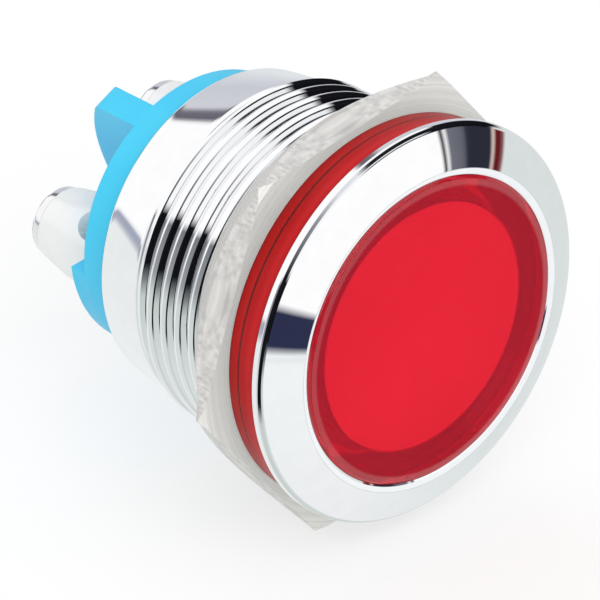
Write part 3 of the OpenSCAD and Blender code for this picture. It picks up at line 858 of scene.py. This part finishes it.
def turnedNickel():
    # satin nickel: fine rings round the axis, from noise that is stretched along them; the front is painted paler than
    # the flats, as painted light
    material, tree, shader = newMaterial("satinNickel", Metallic=0.4)
    out, station = axisDistance(tree, 9000.0)
    along = shaderNode(tree, "Math", {0: station, 1: 1400.0}, operation="MULTIPLY")
    pair = shaderNode(tree, "CombineXYZ", {"X": out, "Y": along.outputs["Value"]})
    rings = shaderNode(tree, "TexNoise", {"Vector": pair.outputs["Vector"], "Scale": 1.0, "Detail": 4.0}).outputs["Fac"]
    flats = ramp(tree, rings, [(0.3, tone(200, 197, 194)), (0.7, tone(246, 244, 240))])
    # painted light: the front's colour is paler than the flats' to stand in for the light that falls on it
    face = ramp(tree, rings, [(0.3, tone(236, 232, 226)), (0.7, tone(255, 254, 250))])
    share = shaderNode(tree, "Attribute", attribute_name="forwards").outputs["Fac"]
    tint = shaderNode(tree, "Mix", {0: share, 6: flats, 7: face}, data_type="RGBA")
    finish(tree, shader, tint.outputs[2], finishes["nutRough"], rings, 0.6, 0.00003)
    return material


def clearRed():
    # moulded clear red plastic: what is seen through it takes its colour
    material, tree, shader = newMaterial("clearRed", Roughness=finishes["lensRough"], IOR=finishes["lensIor"],
                                         Transmission_Weight=finishes["lensClear"])
    cloud = speckle(tree, 90.0, 2.0)
    tree.links.new(ramp(tree, cloud, [(0.3, (0.97, 0.040, 0.080, 1.0)), (0.7, (1.0, 0.048, 0.090, 1.0))]),
                   shader.inputs["Base Color"])
    raised(tree, shader, speckle(tree, 700.0, 2.0), 0.03, 0.00002)
    return material


def moulded(name, dark, light, rough, grain, bump, **sockets):
    # plastic or rubber with a fine moulded grain and a slight drift of colour
    material, tree, shader = newMaterial(name, **sockets)
    colour = drift(tree, speckle(tree, 120.0), dark, light)
    finish(tree, shader, colour, rough, speckle(tree, grain, 4.0), bump, 0.00003)
    return material


def ringRed():
    # silicone ring: its colour goes by the station along the axis, with a painted highlight band near its front, a dark
    # painted shade line where the lower band starts and painted shade darkening its rear beside the nut
    material, tree, shader = newMaterial("siliconeRed", Specular_IOR_Level=0.15)
    station = axisDistance(tree, 1.0)[1]
    share = shaderNode(tree, "MapRange", {"Value": station, "From Min": 0.0, "From Max": 0.0025}).outputs["Result"]
    # painted light: the brightest stop, at 0.30, is a painted highlight; the dark stops at 0.63 to 0.67 and the darker
    # end at 1.0 are painted shade
    bands = ramp(tree, share, [(0.0, tone(184, 18, 24)), (0.30, tone(204, 30, 34)), (0.46, tone(186, 18, 22)),
                               (0.60, tone(182, 18, 20)), (0.63, tone(84, 8, 10)), (0.67, tone(84, 8, 10)),
                               (0.72, tone(190, 22, 22)), (0.93, tone(176, 20, 20)), (1.0, tone(120, 12, 14))])
    worn = ramp(tree, speckle(tree, 160.0), [(0.3, (0.9, 0.9, 0.9, 1)), (0.7, (1, 1, 1, 1))])
    both = shaderNode(tree, "Mix", {0: 1.0, 6: bands, 7: worn}, data_type="RGBA", blend_type="MULTIPLY")
    finish(tree, shader, both.outputs[2], (0.28, 0.4), speckle(tree, 1500.0, 4.0), 0.08, 0.00003)
    return material


def boardGreen():
    # solder mask: a satin green sheet over copper tracks that show a little lighter
    material, tree, shader = newMaterial("boardGreen")
    place = shaderNode(tree, "TexCoord").outputs["Object"]
    tracks = shaderNode(tree, "TexBrick", {"Vector": place, "Scale": 420.0, "Mortar Size": 0.06,
                                           "Color1": (0.0, 0.0, 0.0, 1), "Color2": (0.1, 0.1, 0.1, 1),
                                           "Mortar": (1, 1, 1, 1)})
    colour = drift(tree, tracks.outputs["Fac"], (0.010, 0.075, 0.028, 1), (0.035, 0.17, 0.07, 1))
    finish(tree, shader, colour, (0.28, 0.4), speckle(tree, 1600.0), 0.1)
    return material


brightPlate = plated("brightPlate", (0.93, 0.93, 0.94, 1), (0.905, 0.905, 0.915, 1), finishes["plateRough"], 0.02)
postPlate = plated("postPlate", (0.97, 0.97, 0.96, 1), (0.94, 0.94, 0.93, 1), finishes["postRough"], 0.04, 0.2)
screwPlate = plated("screwPlate", (0.90, 0.90, 0.91, 1), (0.84, 0.84, 0.85, 1), (0.06, 0.12), 0.25)
satinNickel = turnedNickel()
lensRed = clearRed()
siliconeRed = ringRed()
nylonBlue = moulded("nylonBlue", tone(52, 198, 246), tone(64, 212, 250), (0.34, 0.5), 1800.0, 0.2)
print("finishes ready")

makeHousing(brightPlate)
makeLens(lensRed)
makeGasket(siliconeRed)
makeNut(satinNickel)
makeBase(nylonBlue)
for side, letter in ((-1, "a"), (1, "b")):
    makePost(side, letter, postPlate)
    makeScrew(side, letter, screwPlate)
print("outer pieces ready")

# the inner pieces keep their solids, each with the finish of what it is made of
sealBlack = moulded("sealBlack", tone(24, 24, 26), tone(36, 36, 38), (0.5, 0.7), 1400.0, 0.15)
# the milky diffuser glows faintly: painted light that brightens the lens's inner disc
milky = moulded("milky", (0.92, 0.90, 0.88, 1), (0.96, 0.94, 0.92, 1), (0.35, 0.5), 900.0, 0.05,
                Emission_Color=(1.0, 0.92, 0.9, 1.0), Emission_Strength=finishes["glow"])
glossWhite = moulded("glossWhite", (0.84, 0.84, 0.83, 1), (0.90, 0.90, 0.89, 1), (0.2, 0.32), 900.0, 0.04)
emitterCream = moulded("emitterCream", tone(238, 226, 170), tone(246, 240, 214), (0.25, 0.4), 2600.0, 0.05)
packageBlack = moulded("packageBlack", tone(20, 20, 22), tone(40, 40, 42), (0.4, 0.6), 3200.0, 0.3)
drawnCan = plated("drawnCan", (0.78, 0.79, 0.81, 1), (0.66, 0.67, 0.69, 1), (0.25, 0.4), 0.1)
wireBlack = moulded("wireBlack", tone(22, 22, 24), tone(34, 34, 36), (0.45, 0.6), 2000.0, 0.1)
wireRed = moulded("wireRed", tone(176, 22, 24), tone(196, 30, 30), (0.45, 0.6), 2000.0, 0.1)
green = boardGreen()
innerFinish = {"lens_seal": sealBlack, "base_seal": sealBlack, "diffuser": milky, "reflector": glossWhite,
               "led_board": green, "led": emitterCream, "resistor": packageBlack, "bridge_rectifier": packageBlack,
               "capacitor": drawnCan, "lead_a": wireBlack, "lead_b": wireRed}
for name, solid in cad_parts.items():
    kind = name if name in innerFinish else name.rsplit("_", 1)[0]
    if kind not in innerFinish:
        continue
    for place in solid.material_slots:
        place.material = innerFinish[kind]
    if not solid.material_slots:
        solid.data.materials.append(innerFinish[kind])
print("inner pieces ready")

bpy.context.scene.view_settings.view_transform = "Standard"
